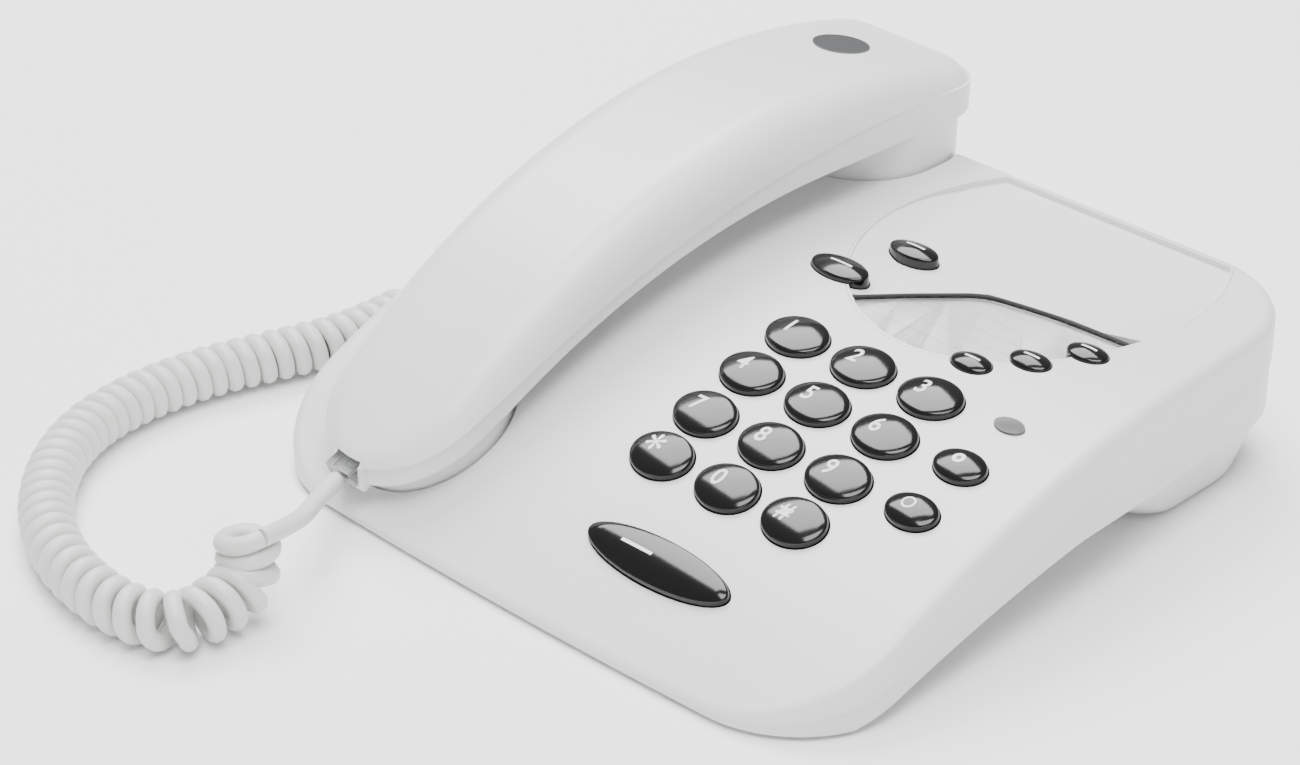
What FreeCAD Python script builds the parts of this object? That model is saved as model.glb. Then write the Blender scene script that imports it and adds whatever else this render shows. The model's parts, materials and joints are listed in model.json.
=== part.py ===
"""Corded desk telephone: a wedge-shaped base with keys and an index card, a handset in its
cradle on the left, and a curly cord between them.

Frame: millimetres, +X to the user's right, +Y away from the user, +Z up.
The origin is the middle of the footprint of the base and handset, on the table.
"""
import FreeCAD, Part
import math
import os
from FreeCAD import Vector as V

os.makedirs("parts", exist_ok=True)

# ---- driving dimensions -------------------------------------------------------------------
CASE_FRONT = -94.0          # front edge of the base
CASE_BACK = 84.0            # rear wall of the base
CASE_SIDE = ((86.5, -94.0), (87.5, -20.0), (83.3, 84.0))    # half width and y along a bowed side
FRONT_BOW = 2.5             # how far the front edge bows out at the middle
FRONT_CORNER = 29.0         # plan radius of the two front corners
BACK_CORNER = 28.0          # plan radius of the two rear corners
TOP_EDGE = 3.0              # rounding between the top and the side walls

TOP_RADIUS = 250.0          # the top is an arc seen from the side
TOP_APEX_Y = 36.7           # where the arc is level; the top runs level behind it
TOP_APEX_Z = 40.0
WALL = 2.4                  # moulded wall of the base
FLOOR = 2.0                 # and of its underside
SEAM = ((-94.0, 2.6), (-53.0, 12.0), (-12.0, 23.1), (7.0, 26.8), (26.0, 28.0))  # y, z of the parting line
SEAM_STEP = 0.3             # the lower case is set in by this much

FOOT_PAD = 1.2              # rubber pads stand this proud of the case
FOOT_PADS = ((-58.0, -79.0), (58.0, -79.0), (-60.0, 60.0), (60.0, 60.0))
PAD_RADIUS = 6.0
LEDGE_BACK = -75.0          # the front of the case is level up to here, and the hollow rises behind it
ARCH_MID = V(0, -42.0, 10.2)
ARCH_TOP = V(0, -4.0, 15.9) # the hollow under the case is highest from here back
REAR_FOOT_HALF = 84.0       # the deep rear body, half width where it meets the hollow
REAR_FOOT_LEAN = 5.0        # its flanks lean in by this much at the table
REAR_FOOT_FRONT = 6.0       # its front starts here under the hollow
REAR_FOOT_TOE = 30.0        # and reaches the table here

# keys: travel is along the local normal of the top surface
KEY_COLUMNS = (7.7, 27.2, 46.7)
KEY_ROWS = (-8.4, -23.4, -38.2, -51.9)
KEY_NAMES = (("1", "2", "3"), ("4", "5", "6"), ("7", "8", "9"), ("star", "0", "hash"))
KEY_SIZE = (16.0, 12.7)
KEY_PROUD = 2.4             # how far the crown of a key stands above the case
KEY_SAG = 1.3               # the crown falls this much at the ends of a key
KEY_TRAVEL = 1.3
KEY_GAP = 0.3               # clearance round a key in its hole
FLANGE_TOP = 2.7            # depth of the flange that keeps a key in the case
FLANGE_THICK = 0.8
FLANGE_WIDER = 1.0          # at each end of the key
FLANGE_SLIM = 1.6           # the flange is narrower than the key by this much
STEM = 2.2                  # radius of the stem under a key
STEM_CLEAR = 0.3            # left over a dome when its key is fully down
LONG_KEY = 30.0             # keys longer than this have two stems

SMALL_KEYS = {              # name: (x, y, length, width, how proud)
    "function_key": (66.8, -22.2, 13.0, 9.5, 2.4),
    "recall_key": (66.8, -37.6, 13.0, 9.5, 2.4),
    "redial_key": (27.2, -73.2, 40.5, 11.5, 2.4),
    "store_key": (-3.1, 17.8, 16.0, 8.5, 2.0),
    "memory_key": (3.5, 36.2, 13.5, 7.5, 1.0),
    "quick_key_1": (45.1, 7.0, 10.5, 6.8, 1.5),
    "quick_key_2": (54.8, 15.5, 10.5, 6.8, 1.5),
    "quick_key_3": (62.4, 26.0, 10.5, 6.8, 1.5),
}
LENS = (66.6, -5.9, 7.7, 4.8)

# index panel: a D-shaped shallow dish behind the keypad
DISH_CENTRE = (28.0, 52.0)
DISH_AXES = (42.0, 48.5)
DISH_BACK = 81.2
DISH_FLOOR = ((3.5, 37.0), (82.0, 38.6))    # y, z of the flat floor, front and back
DISH_FLANK = ((-13.0, 76.0), (5.0, 22.0))    # line where the left flank meets the floor
DISH_FLANK_SLOPE = 0.17
SLOT_LINE = ((5.0, 12.5), (12.6, 20.6), (20.9, 28.4), (26.7, 33.8), (36.8, 35.7), (48.2, 37.4), (66.5, 38.0))
SLOT_GAP = 1.3
PANEL_THICK = 5.0
LEDGE_THICK = 2.0           # the seat of the panel
LEDGE_WIDE = 3.0
CARD_POCKET = 1.5
CARD_THICK = 0.4
WINDOW_THICK = 0.9

# boards under the keys
BOARD_FRONT, BOARD_BACK = -75.0, 3.0
BOARD_LEFT, BOARD_RIGHT = -9.0, 74.0
BOARD_DEPTH = 7.6           # below the case top at the board's front edge
BOARD_THICK = 1.6
BOARD_POSTS = ((4.5, 18.0), (79.0, 18.0), (4.5, 74.0), (67.5, 77.5))   # along and up the board
FUNCTION_BOARD_Z = 26.5     # the level board under the index panel
FUNCTION_BOARD = (-16.0, 71.0, 7.0, 42.0)   # x from, to, y from, to
FUNCTION_POSTS = ((-12.0, 28.5), (67.5, 12.0))
POST = 2.8
SCREW = 1.25
MAT = (8.0, 81.5, 2.0)      # the rubber sheet: along from, to, and its margin up the board
MAT_THICK = 0.7
DOME_HIGH = 1.2
DOME_SQUEEZED = 0.95         # a dome is drawn this high, so that a pressed key just meets it
DOME_RADII = (4.2, 3.0)
CASE_SHANK = 1.4
CASE_SCREWS = ((-79.5, -45.0, 16.0), (79.5, -45.0, 16.0), (-78.0, 4.0, 22.0), (78.0, 4.0, 22.0))  # x, y, joint z
BOSS = 4.0                  # radius of the screw posts that join the case halves

# inside the rear body and on the rear wall
RINGER = (0.0, 56.0)
RINGER_RADIUS = 17.8
BALLAST = (24.0, 70.0, 38.0, 66.0)      # x from, to, y from, to
BALLAST_THICK = 4.0
LINE_JACK = (30.0, 21.0)    # x, z on the rear wall
SWITCH = (52.0, 21.0)       # x, z on the rear wall
SWITCH_TRAVEL = 4.0
HOOK_SWITCH_Z = 14.0        # top of the switch block under the cradle

# handset
HANDSET_X = -47.5
HANDSET_TURN = -1.4         # degrees that the handset and its wells are turned on the base
HANDSET_FRONT = -93.5
HANDSET_BACK = 93.9
HANDSET_NOSE = 22.0         # plan radius of the mouthpiece end
HANDSET_FLARE = 1.0         # degrees that each side opens towards the earpiece
HANDSET_REAR_CORNER = 13.0
CROWN_RADIUS = 180.0
CROWN_APEX = (35.0, 69.5)   # y, z
SHOULDER = 10.0
CREASE_RADIUS = 300.0       # the outer shell ends at this arc, seen from the side
CREASE_APEX = (62.0, 58.6)
RIM_RADIUS = 200.0          # lower edge of the handset's side band
RIM_APEX = (34.0, 50.4)
RIM_BACK_Z = 50.0
NOSE_CLEAR = 5.5            # at the mouthpiece the band ends this far above the case
BAND_INSET = (2.2, 0.3)     # the band is set in by this much at the nose and at the crease's top
BAND_LEVELS = (6.0, 60.0)
HANDSET_WALL = 2.2
HANDLE_PLATE = 3.0          # thickness of the inner shell under the grip

EAR_FRONT = 50.5            # ear cup, front to back
EAR_BACK = 91.0
EAR_HALF = 23.9
EAR_BOTTOM = 37.9
EAR_RADII = (20.5, 15.0)    # plan radii of its front and rear corners
EAR_WELL_Z = 37.6
RECEIVER_Y = 71.0
MOUTH_Y = -67.5
MOUTH_RADIUS = 18.4
MOUTH_SINK = 1.2
WELL_GAP = 0.9
WELL_DEEPER = 0.6           # the mouth well is deeper than the cup by this much
HANDSET_SCREWS = ((HANDSET_X, -38.0), (HANDSET_X, 36.0))
HANDSET_BOSS = 4.5
BADGE = (HANDSET_X, 65.2, 7.0)      # x, y, radius
BADGE_THICK = 0.8
WEIGHT = (14.0, -14.0, 30.0, 53.6, 57.6)    # width, y from, to, z from, to

HOOK = (HANDSET_X, 60.0)
HOOK_RISE = 3.0
PLUNGER = 4.0

# cord
CORD = 4.2
COIL = 13.0
BASE_JACK = (16.0, 20.1)    # y, z on the left side
HANDSET_JACK = V(-48.5, -94.6, 12.9)
JACK_RISE = 22.0            # degrees that the handset's plug points up
BASE_TAIL = [V(-92.0, 16.0, 20.0), V(-102.5, 16.0, 19.8), V(-110.0, 8.5, 18.3), V(-110.5, -3.0, 14.0),
             V(-107.8, -14.0, 9.6), V(-104.6, -25.0, 7.2)]
COIL_ROUTE = [V(-104.6, -25.0, 7.2), V(-104.0, -42.0, 6.9), V(-110.0, -60.0, 6.7), V(-116.5, -78.0, 6.7),
              V(-119.0, -98.0, 6.7), V(-116.0, -117.0, 6.7), V(-105.0, -134.5, 6.7), V(-87.5, -148.5, 6.7),
              V(-69.0, -155.5, 6.7), V(-50.5, -157.0, 6.8), V(-37.5, -152.5, 6.9), V(-36.0, -143.0, 7.3),
              V(-37.5, -130.6, 9.0), V(-39.0, -131.2, 20.0)]
HANDSET_TAIL = [V(-34.6, -131.2, 20.0), V(-35.4, -119.0, 18.6), V(-44.5, -107.0, 14.6), V(-50.6, -95.8, 12.2)]


FAR = 180.0                  # half length of the tools that cut right across


# ---- helpers --------------------------------------------------------------------------------
def line(a, b):
    """A straight edge."""
    return Part.LineSegment(a, b).toShape()


def arc(a, middle, b):
    """An edge along the circle through three points."""
    return Part.Arc(a, middle, b).toShape()


def prism(edges, vector):
    """The solid swept by a flat closed outline."""
    return Part.Face(Part.Wire(edges)).extrude(vector)


def box(low, high):
    """A box between two corners."""
    size = high - low
    return Part.makeBox(size.x, size.y, size.z, low)


def cylinder(radius, height, base, axis=V(0, 0, 1)):
    """A solid cylinder."""
    return Part.makeCylinder(radius, height, base, axis)


def oval(length, width, height, base=V(0, 0, 0)):
    """An upright elliptical prism, longer along X."""
    ellipse = Part.Ellipse(base, length / 2.0, width / 2.0).toShape()
    return Part.Face(Part.Wire([ellipse])).extrude(V(0, 0, height))


def save(name, *solids):
    """Write one node, as a single solid or as a group of separate ones."""
    shape = solids[0] if len(solids) == 1 else Part.makeCompound(list(solids))
    shape.exportStep("parts/%s.step" % name)
    print("%-24s %2d solid(s) %9.1f mm3 %s" % (name, len(shape.Solids), shape.Volume, shape.isValid()))
    return shape


# ---- the surfaces that shape the base -------------------------------------------------------
def top_z(y, drop=0.0):
    """Height of the case top at y, or of the surface that lies drop below it."""
    if y >= TOP_APEX_Y:
        return TOP_APEX_Z - drop
    radius = TOP_RADIUS - drop
    return TOP_APEX_Z - TOP_RADIUS + math.sqrt(radius ** 2 - (y - TOP_APEX_Y) ** 2)


def top_tilt(y):
    """Slope of the case top at y, in radians: positive where it falls towards the user."""
    return math.asin(max(0.0, TOP_APEX_Y - y) / TOP_RADIUS)


def side_x(y):
    """Half width of the base at y, where its side is bowed."""
    (xa, ya), (xb, yb), (xc, yc) = CASE_SIDE
    la = (y - yb) * (y - yc) / ((ya - yb) * (ya - yc))
    lb = (y - ya) * (y - yc) / ((yb - ya) * (yb - yc))
    lc = (y - ya) * (y - yb) / ((yc - ya) * (yc - yb))
    return xa * la + xb * lb + xc * lc


def top_curve(x, drop, y_from, y_to):
    """Edges along the case top, drop below it, from y_from (front) to y_to (back)."""
    y_mid = (y_from + TOP_APEX_Y) / 2.0
    start = V(x, y_from, top_z(y_from, drop))
    middle = V(x, y_mid, top_z(y_mid, drop))
    apex = V(x, TOP_APEX_Y, TOP_APEX_Z - drop)
    return [arc(start, middle, apex), line(apex, V(x, y_to, TOP_APEX_Z - drop))]


def region_below_top(drop=0.0):
    """Everything under the case top, or under the surface that lies drop below it."""
    x = -FAR
    front, back, low = CASE_FRONT - 10.0, CASE_BACK + 40.0, -20.0
    edges = [line(V(x, front, low), V(x, front, top_z(front, drop)))]
    edges += top_curve(x, drop, front, back)
    edges += [line(V(x, back, TOP_APEX_Z - drop), V(x, back, low)), line(V(x, back, low), V(x, front, low))]
    return prism(edges, V(2 * FAR, 0, 0))


def region_above_top(drop=0.0):
    """Everything over the surface that lies drop below the case top."""
    x = -FAR
    front, back, high = CASE_FRONT - 10.0, CASE_BACK + 40.0, 90.0
    edges = [line(V(x, front, high), V(x, front, top_z(front, drop)))]
    edges += top_curve(x, drop, front, back)
    edges += [line(V(x, back, TOP_APEX_Z - drop), V(x, back, high)), line(V(x, back, high), V(x, front, high))]
    return prism(edges, V(2 * FAR, 0, 0))


def region_above_seam():
    """Everything over the parting line, which rises from the front edge and levels out behind."""
    x = -FAR
    back, high = CASE_BACK + 40.0, 90.0
    front, first, rise, second, top = [V(x, y, z) for y, z in SEAM]
    ahead = V(x, CASE_FRONT - 10.0, front.z)
    corners = [V(x, back, top.z), V(x, back, high), V(x, ahead.y, high)]
    edges = [line(corners[2], ahead), line(ahead, front), arc(front, first, rise), arc(rise, second, top)]
    edges += [line(top, corners[0]), line(corners[0], corners[1]), line(corners[1], corners[2])]
    return prism(edges, V(2 * FAR, 0, 0))


def region_above_arch(raise_by=0.0):
    """Everything over the underside: a flat front ledge, then the hollow under the case."""
    x = -FAR
    front, back, high = CASE_FRONT - 10.0, CASE_BACK + 40.0, 90.0
    up = V(0, 0, raise_by)
    start = V(x, LEDGE_BACK, FOOT_PAD) + up
    middle = V(x, ARCH_MID.y, ARCH_MID.z) + up
    end = V(x, ARCH_TOP.y, ARCH_TOP.z) + up
    far = V(x, back, ARCH_TOP.z) + up
    edges = [line(V(x, front, high), V(x, front, start.z)), line(V(x, front, start.z), start)]
    edges += [arc(start, middle, end), line(end, far)]
    edges += [line(far, V(x, back, high)), line(V(x, back, high), V(x, front, high))]
    return prism(edges, V(2 * FAR, 0, 0))


def vertical_edges(shape, test):
    """Upright straight edges whose x and y satisfy a test."""
    found = []
    for edge in shape.Edges:
        if len(edge.Vertexes) != 2:
            continue
        a, b = edge.Vertexes[0].Point, edge.Vertexes[1].Point
        if abs(a.x - b.x) < 1e-4 and abs(a.y - b.y) < 1e-4 and test(a.x, a.y):
            found.append(edge)
    return found


def case_prism(inset=0.0, low=-5.0, high=60.0):
    """The outline of the base seen from above, as an upright prism with bowed sides."""
    front, back = CASE_FRONT + inset, CASE_BACK - inset
    y_mid = CASE_SIDE[1][1]
    near, middle, far = [side_x(y) - inset for y in (front + FRONT_BOW, y_mid, back)]
    left, right = V(-near, front + FRONT_BOW, low), V(near, front + FRONT_BOW, low)
    left_back, right_back = V(-far, back, low), V(far, back, low)
    edges = [arc(left_back, V(-middle, y_mid, low), left), arc(left, V(0, front, low), right)]
    edges += [arc(right, V(middle, y_mid, low), right_back), line(right_back, left_back)]
    solid = prism(edges, V(0, 0, high - low))
    solid = solid.makeFillet(FRONT_CORNER - inset, vertical_edges(solid, lambda px, py: py < 0))
    return solid.makeFillet(BACK_CORNER - inset, vertical_edges(solid, lambda px, py: py > back - 1.0 and abs(px) > far - 1.0))


def rounded_outline(x0, x1, y0, y1, radii, z):
    """A rounded rectangle as a wire; radii are front-left, front-right, back-right, back-left."""
    fl, fr, br, bl = radii
    k = 1.0 - math.sqrt(0.5)
    edges = [line(V(x0 + fl, y0, z), V(x1 - fr, y0, z))]
    edges += [arc(V(x1 - fr, y0, z), V(x1 - fr * k, y0 + fr * k, z), V(x1, y0 + fr, z))]
    edges += [line(V(x1, y0 + fr, z), V(x1, y1 - br, z))]
    edges += [arc(V(x1, y1 - br, z), V(x1 - br * k, y1 - br * k, z), V(x1 - br, y1, z))]
    edges += [line(V(x1 - br, y1, z), V(x0 + bl, y1, z))]
    edges += [arc(V(x0 + bl, y1, z), V(x0 + bl * k, y1 - bl * k, z), V(x0, y1 - bl, z))]
    edges += [line(V(x0, y1 - bl, z), V(x0, y0 + fl, z))]
    edges += [arc(V(x0, y0 + fl, z), V(x0 + fl * k, y0 + fl * k, z), V(x0 + fl, y0, z))]
    return Part.Wire(edges)


def rear_foot(inset=0.0, low=FOOT_PAD, high=ARCH_TOP.z + 0.5):
    """The deep rear body of the base, whose front and flanks lean in towards the table."""
    x = REAR_FOOT_HALF - inset
    foot = x - REAR_FOOT_LEAN
    back = CASE_BACK - inset - SEAM_STEP
    corner = BACK_CORNER - inset - SEAM_STEP
    upper = rounded_outline(-x, x, REAR_FOOT_FRONT + inset, back, (12.0, 12.0, corner, corner), high)
    radii = (10.0, 10.0, corner - 4.0, corner - 4.0)
    lower = rounded_outline(-foot, foot, REAR_FOOT_TOE + inset, back - REAR_FOOT_LEAN, radii, low)
    return Part.makeLoft([lower, upper], True, True).common(case_prism(SEAM_STEP + inset))


# ---- things set square to the sloping top ---------------------------------------------------
def key_frame(x, y, up=0.0):
    """The placement of a key: its local Z is the normal of the case top at y."""
    tilt = top_tilt(y)
    normal = V(0, -math.sin(tilt), math.cos(tilt))
    turn = FreeCAD.Rotation(V(1, 0, 0), math.degrees(tilt))
    return FreeCAD.Placement(V(x, y, top_z(y)) + normal * up, turn)


def moved(shape, placement):
    """A copy of a shape with a placement applied."""
    copy = shape.copy()
    copy.Placement = placement.multiply(copy.Placement)
    return copy


def in_cradle(shape):
    """The shape turned about the handset's middle, as the handset lies on the base."""
    centre = V(HANDSET_X, 0, 0)
    return moved(shape, FreeCAD.Placement(V(0, 0, 0), FreeCAD.Rotation(V(0, 0, 1), HANDSET_TURN), centre))


# ---- base: the two case halves --------------------------------------------------------------
def ear_outline(grow, z):
    """The outline of the ear cup, grown by some amount, at height z."""
    x0, x1 = HANDSET_X - EAR_HALF - grow, HANDSET_X + EAR_HALF + grow
    near, far = EAR_RADII[0] + grow, EAR_RADII[1] + grow
    radii = (near, near, far, far)
    return rounded_outline(x0, x1, EAR_FRONT - grow, EAR_BACK + grow, radii, z)


def ear_prism(grow, low, high):
    """The ear cup's outline as an upright prism."""
    return Part.Face(ear_outline(grow, low)).extrude(V(0, 0, high - low))


def dish_prism(grow, low=20.0, high=60.0):
    """The D-shaped outline of the index panel as an upright prism."""
    half_x, half_y = DISH_AXES[0] + grow, DISH_AXES[1] + grow
    centre = V(DISH_CENTRE[0], DISH_CENTRE[1], low)
    flat = Part.Face(Part.Wire([turned_ellipse(centre, half_x, half_y)]))
    whole = flat.extrude(V(0, 0, high - low))
    return whole.common(box(V(-60, -60, low), V(120, DISH_BACK + grow, high)))


def turned_ellipse(centre, half_x, half_y):
    """A whole ellipse that may be longer along Y."""
    if half_x >= half_y:
        return Part.Ellipse(centre, half_x, half_y).toShape()
    return Part.Ellipse(centre + V(0, half_y, 0), centre + V(-half_x, 0, 0), centre).toShape()


def all_keys():
    """Every key: name, x, y, length, width, how proud it is and how deep its flange sits."""
    keys = []
    for row, y in enumerate(KEY_ROWS):
        for column, x in enumerate(KEY_COLUMNS):
            keys.append(("key_" + KEY_NAMES[row][column], x, y, KEY_SIZE[0], KEY_SIZE[1], KEY_PROUD, FLANGE_TOP))
    under_panel = PANEL_THICK + LEDGE_THICK + 0.6
    for name, (x, y, length, width, proud) in SMALL_KEYS.items():
        keys.append((name, x, y, length, width, proud, under_panel if y > 0 else FLANGE_TOP))
    return keys


def key_holes():
    """The holes for the keys and the lens, square to the top."""
    holes = []
    for name, x, y, length, width, proud, flange in all_keys():
        hole = oval(length + 2 * KEY_GAP, width + 2 * KEY_GAP, 20.0)
        holes.append(moved(hole, key_frame(x, y, -10.0)))
    x, y, length, width = LENS
    holes.append(moved(oval(length + 0.1, width + 0.1, 20.0), key_frame(x, y, -10.0)))
    return Part.makeCompound(holes)


def board_frame(up=0.0):
    """Placement of the main board: its local Z is square to the board, origin at its front left."""
    rise = top_z(BOARD_BACK) - top_z(BOARD_FRONT)
    tilt = math.atan2(rise, BOARD_BACK - BOARD_FRONT)
    normal = V(0, -math.sin(tilt), math.cos(tilt))
    origin = V(BOARD_LEFT, BOARD_FRONT, top_z(BOARD_FRONT) - BOARD_DEPTH)
    return FreeCAD.Placement(origin + normal * up, FreeCAD.Rotation(V(1, 0, 0), math.degrees(tilt)))


def post_solids(radius, low, high):
    """Round posts square to each board, between two heights above the board."""
    posts = []
    for along, up in BOARD_POSTS:
        posts.append(moved(cylinder(radius, high - low, V(along, up, low)), board_frame()))
    for x, y in FUNCTION_POSTS:
        posts.append(cylinder(radius, high - low, V(x, y, FUNCTION_BOARD_Z + low)))
    return posts


def mouth_region(grow, drop):
    """The round mouthpiece cup or its well: a cylinder cut off parallel to the case top."""
    tube = cylinder(MOUTH_RADIUS + grow, 60.0, V(HANDSET_X, MOUTH_Y, 0))
    return tube.common(region_above_top(drop))


def top_housing():
    """The upper case half, with the cradle wells, key holes and the seat of the index panel."""
    outer = case_prism().common(region_below_top()).common(region_above_arch())
    rim = [edge for edge in outer.Edges if on_top_edge(edge)]
    outer = outer.makeFillet(TOP_EDGE, rim).common(region_above_seam())
    inside = case_prism(WALL).common(region_below_top(WALL))
    mouth_drop = MOUTH_SINK + WELL_DEEPER
    thick = [in_cradle(ear_prism(WELL_GAP + WALL, EAR_WELL_Z - WALL, TOP_APEX_Z - 1.0))]
    thick.append(in_cradle(mouth_region(WELL_GAP + WALL, mouth_drop + WALL)))
    thick.append(dish_prism(2.0).common(region_above_top(PANEL_THICK + LEDGE_THICK)))
    thick += post_solids(POST, 0.0, 40.0)
    for x, y, joint in CASE_SCREWS:
        thick.append(cylinder(BOSS, 60.0, V(x, y, joint)))
    for solid in thick:
        inside = inside.cut(solid)
    shell = outer.cut(inside)
    cuts = [in_cradle(ear_prism(WELL_GAP, EAR_WELL_Z, 80.0)), in_cradle(mouth_region(WELL_GAP, mouth_drop))]
    cuts.append(dish_prism(0.0).common(region_above_top(PANEL_THICK)))
    cuts.append(dish_prism(-LEDGE_WIDE))
    cuts.append(cylinder(PLUNGER + KEY_GAP, 10.0, V(HOOK[0], HOOK[1], EAR_WELL_Z - 8.0)))
    cuts += [cylinder(CASE_SHANK, 6.0, V(x, y, joint - 0.1)) for x, y, joint in CASE_SCREWS]
    cuts += post_solids(SCREW, -1.0, 4.6)
    for solid in cuts:
        shell = shell.cut(solid)
    return shell.cut(key_holes())


def on_top_edge(edge):
    """True for the edges between the top and the side walls."""
    if edge.Length < 1.0:
        return False
    for k in (0.0, 0.5, 1.0):
        u = edge.FirstParameter + k * (edge.LastParameter - edge.FirstParameter)
        point = edge.valueAt(u)
        if abs(point.z - top_z(point.y)) > 0.02:
            return False
    middle = edge.valueAt((edge.FirstParameter + edge.LastParameter) / 2.0)
    at_side = abs(middle.x) > CASE_SIDE[2][0] - BACK_CORNER
    return at_side or middle.y < CASE_FRONT + 5.0 or middle.y > CASE_BACK - 1.0


def bottom_housing():
    """The lower case half: a tray over the hollow, and the deep rear body."""
    below_seam = box(V(-FAR, -FAR, -10), V(FAR, FAR, 90)).cut(region_above_seam())
    outer = case_prism(SEAM_STEP).common(region_above_arch()).fuse(rear_foot()).common(below_seam)
    inside = case_prism(WALL + SEAM_STEP).common(region_above_arch(FLOOR))
    inside = inside.fuse(rear_foot(WALL, FOOT_PAD + FLOOR, ARCH_TOP.z + FLOOR + 0.5))
    for x, y, joint in CASE_SCREWS:
        inside = inside.cut(cylinder(BOSS, joint, V(x, y, 0)))
    inside = inside.cut(ring(RINGER, RINGER_RADIUS + 1.4, RINGER_RADIUS + 0.1, FOOT_PAD, FOOT_PAD + FLOOR + 3.0))
    shell = outer.cut(inside)
    for x, y, joint in CASE_SCREWS:
        shell = shell.cut(cylinder(CASE_SHANK + 0.2, 60.0, V(x, y, -5)))
        shell = shell.cut(cylinder(3.1, joint - 3.0, V(x, y, 0)))
    for index in range(-2, 3):
        x = RINGER[0] + 5.0 * index
        shell = shell.cut(box(V(x - 0.9, RINGER[1] - 8.0, 0), V(x + 0.9, RINGER[1] + 8.0, FOOT_PAD + FLOOR + 0.1)))
    y, z = BASE_JACK
    shell = shell.cut(box(V(-90, y - 5.1, z - 4.2), V(-71.9, y + 5.1, z + 4.2)))
    shell = shell.cut(box(V(LINE_JACK[0] - 6.6, 75, LINE_JACK[1] - 6.1), V(LINE_JACK[0] + 6.6, 90, LINE_JACK[1] + 6.1)))
    return shell.cut(box(V(SWITCH[0] - 4.6, 75, SWITCH[1] - 2.1), V(SWITCH[0] + 4.6, 90, SWITCH[1] + 2.1)))


def ring(centre, outer, inner, low, high):
    """A short upright tube."""
    base = V(centre[0], centre[1], low)
    return cylinder(outer, high - low, base).cut(cylinder(inner, high - low, base))


# ---- base: index panel, card and window ------------------------------------------------------
def above_floor(drop=0.0):
    """Everything over the flat floor of the dish, or over a plane that lies drop below it."""
    (y0, z0), (y1, z1) = DISH_FLOOR
    slope = (z1 - z0) / (y1 - y0)
    front, back = -20.0, 110.0
    zf, zb = z0 + slope * (front - y0) - drop, z0 + slope * (back - y0) - drop
    a, b, c, d = V(-60, front, zf), V(-60, back, zb), V(-60, back, 90), V(-60, front, 90)
    return prism([line(a, b), line(b, c), line(c, d), line(d, a)], V(200, 0, 0))


def above_flank(side):
    """Everything over the leaning flank of the dish; side is -1 for the left one, 1 for the right."""
    (y0, z0), (y1, z1) = DISH_FLOOR
    slope = (z1 - z0) / (y1 - y0)
    (xa, ya), (xb, yb) = DISH_FLANK
    if side > 0:
        xa, xb = 2 * DISH_CENTRE[0] - xa, 2 * DISH_CENTRE[0] - xb
    start, end = V(xa, ya, z0 + slope * (ya - y0)), V(xb, yb, z0 + slope * (yb - y0))
    along = (end - start).normalize()
    out = V(along.y, -along.x, 0).normalize()
    if out.x * side < 0:
        out = out * -1
    origin = start - along * 60.0
    low, high = origin - out * 90.0, origin + out * 60.0
    low.z -= 90.0 * DISH_FLANK_SLOPE
    high.z += 60.0 * DISH_FLANK_SLOPE
    a, b, c, d = low, high, V(high.x, high.y, 90), V(low.x, low.y, 90)
    return prism([line(a, b), line(b, c), line(c, d), line(d, a)], along * 200.0)


def in_front_of_slot(shift):
    """Everything nearer the user than the rear edge of the card window, moved back by shift."""
    points = [V(x, y + shift, 20) for x, y in SLOT_LINE]
    first, last = V(-40, points[0].y - 24.0, 20), V(100, points[-1].y, 20)
    points = [first] + points + [last, V(100, -40, 20), V(-40, -40, 20)]
    edges = [line(a, b) for a, b in zip(points, points[1:] + points[:1])]
    return prism(edges, V(0, 0, 40))


def index_panel():
    """The D-shaped dish with the pocket for the card."""
    solid = dish_prism(-0.1).common(region_below_top()).common(region_above_top(PANEL_THICK - 0.02))
    hollow = above_floor().common(above_flank(-1)).common(above_flank(1)).common(dish_prism(-0.7))
    pocket = dish_prism(-1.3).common(in_front_of_slot(SLOT_GAP)).common(above_floor(CARD_POCKET))
    return solid.cut(hollow).cut(pocket).cut(key_holes())


def pocket_layer(inset, low, thick):
    """A sheet that lies in the card pocket, low above the pocket's floor."""
    sheet = dish_prism(-1.3 - inset).common(in_front_of_slot(0.0))
    sheet = sheet.common(above_floor(CARD_POCKET - low)).cut(above_floor(CARD_POCKET - low - thick))
    return sheet.cut(key_holes())


# ---- base: keys and boards --------------------------------------------------------------------
def stem_end(x, y, board_z):
    """Depth at which a stem ends, so that the key's travel stops just above its rubber dome."""
    tilt = top_tilt(y)
    normal = V(0, -math.sin(tilt), math.cos(tilt))
    surface = V(x, y, top_z(y))
    if board_z is None:
        frame = board_frame(MAT_THICK + DOME_HIGH)
        square = frame.Rotation.multVec(V(0, 0, 1))
        depth = (surface - frame.Base).dot(square) / normal.dot(square)
    else:
        depth = (surface.z - board_z - MAT_THICK - DOME_HIGH) / normal.z
    return depth - KEY_TRAVEL - STEM_CLEAR


def stem_offsets(length):
    """Where the stems stand along a key: one in the middle, or two on a long key."""
    return (-0.3 * length, 0.3 * length) if length > LONG_KEY else (0.0,)


def key(x, y, length, width, proud, flange):
    """A domed oval key with a flange under the case and a stem down to its rubber dome."""
    board_z = FUNCTION_BOARD_Z if y > 0 else None
    bottom = stem_end(x, y, board_z)
    body = oval(length, width, flange + proud, V(0, 0, -flange))
    radius = ((length / 2.0) ** 2 + KEY_SAG ** 2) / (2 * KEY_SAG)
    body = body.common(Part.makeSphere(radius, V(0, 0, proud - radius)))
    solid = body.fuse(oval(length + 2 * FLANGE_WIDER, width - FLANGE_SLIM, FLANGE_THICK, V(0, 0, -flange - FLANGE_THICK)))
    for offset in stem_offsets(length):
        solid = solid.fuse(cylinder(STEM, bottom - flange, V(offset, 0, -bottom)))
    return moved(solid.removeSplitter(), key_frame(x, y))


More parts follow.
